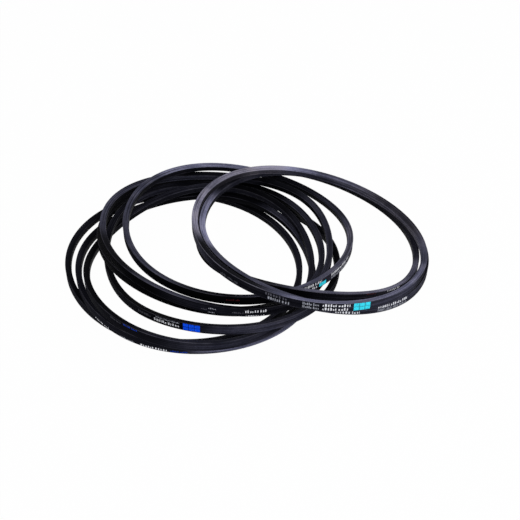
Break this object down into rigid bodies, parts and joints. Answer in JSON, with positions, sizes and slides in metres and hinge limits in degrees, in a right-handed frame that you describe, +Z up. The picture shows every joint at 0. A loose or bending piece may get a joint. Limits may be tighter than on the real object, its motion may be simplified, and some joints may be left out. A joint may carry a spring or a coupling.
{
  "type": "v belt set",
  "caption": "Loose pile of wrapped rubber V-belts: closed loops of wedge section with a fabric jacket, cushion, cords and core, a slipped stack with more loops leaning on it.",
  "frame": {"origin": "on the surface that the pile lies on, under the middle of its bounding box", "axes": "+Z up; +X from the slipped stack towards the loops that lean on it; -Y towards the viewer of the picture"},
  "size_m": [0.499, 0.3958, 0.1026],
  "materials": {
    "jacket_fabric": "matt rubberised fabric",
    "cushion_rubber": "matt",
    "cord_polyester": "dipped cord",
    "core_rubber": "matt"
  },
  "bodies": {
    "belt_1": {"belt_1_cover": "jacket_fabric", "belt_1_cushion": "cushion_rubber", "belt_1_cords": "cord_polyester", "belt_1_core": "core_rubber"},
    "belt_2": {"belt_2_cover": "jacket_fabric", "belt_2_cushion": "cushion_rubber", "belt_2_cords": "cord_polyester", "belt_2_core": "core_rubber"},
    "belt_3": {"belt_3_cover": "jacket_fabric", "belt_3_cushion": "cushion_rubber", "belt_3_cords": "cord_polyester", "belt_3_core": "core_rubber"},
    "belt_4": {"belt_4_cover": "jacket_fabric", "belt_4_cushion": "cushion_rubber", "belt_4_cords": "cord_polyester", "belt_4_core": "core_rubber"},
    "belt_5": {"belt_5_cover": "jacket_fabric", "belt_5_cushion": "cushion_rubber", "belt_5_cords": "cord_polyester", "belt_5_core": "core_rubber"},
    "belt_6": {"belt_6_cover": "jacket_fabric", "belt_6_cushion": "cushion_rubber", "belt_6_cords": "cord_polyester", "belt_6_core": "core_rubber"},
    "belt_7": {"belt_7_cover": "jacket_fabric", "belt_7_cushion": "cushion_rubber", "belt_7_cords": "cord_polyester", "belt_7_core": "core_rubber"},
    "belt_8": {"belt_8_cover": "jacket_fabric", "belt_8_cushion": "cushion_rubber", "belt_8_cords": "cord_polyester", "belt_8_core": "core_rubber"},
    "belt_9": {"belt_9_cover": "jacket_fabric", "belt_9_cushion": "cushion_rubber", "belt_9_cords": "cord_polyester", "belt_9_core": "core_rubber"},
    "belt_10": {"belt_10_cover": "jacket_fabric", "belt_10_cushion": "cushion_rubber", "belt_10_cords": "cord_polyester", "belt_10_core": "core_rubber"}
  },
  "joints": [
    {"name": "belt_2_lift", "type": "slide", "parent": "belt_1", "child": "belt_2", "axis": [0, 0, 1], "range_m": [0, 0.1]},
    {"name": "belt_3_lift", "type": "slide", "parent": "belt_2", "child": "belt_3", "axis": [0, 0, 1], "range_m": [0, 0.1]},
    {"name": "belt_4_lift", "type": "slide", "parent": "belt_3", "child": "belt_4", "axis": [0, 0, 1], "range_m": [0, 0.1]},
    {"name": "belt_5_lift", "type": "slide", "parent": "belt_4", "child": "belt_5", "axis": [0, 0, 1], "range_m": [0, 0.1]},
    {"name": "belt_6_lift", "type": "slide", "parent": "belt_5", "child": "belt_6", "axis": [0, 0, 1], "range_m": [0, 0.1]},
    {"name": "belt_7_lift", "type": "slide", "parent": "belt_6", "child": "belt_7", "axis": [0, 0, 1], "range_m": [0, 0.1]},
    {"name": "belt_8_lift", "type": "slide", "parent": "belt_7", "child": "belt_8", "axis": [0, 0, 1], "range_m": [0, 0.1]},
    {"name": "belt_9_lift", "type": "slide", "parent": "belt_8", "child": "belt_9", "axis": [0, 0, 1], "range_m": [0, 0.1]},
    {"name": "belt_10_lift", "type": "slide", "parent": "belt_9", "child": "belt_10", "axis": [0, 0, 1], "range_m": [0, 0.1]}
  ]
}
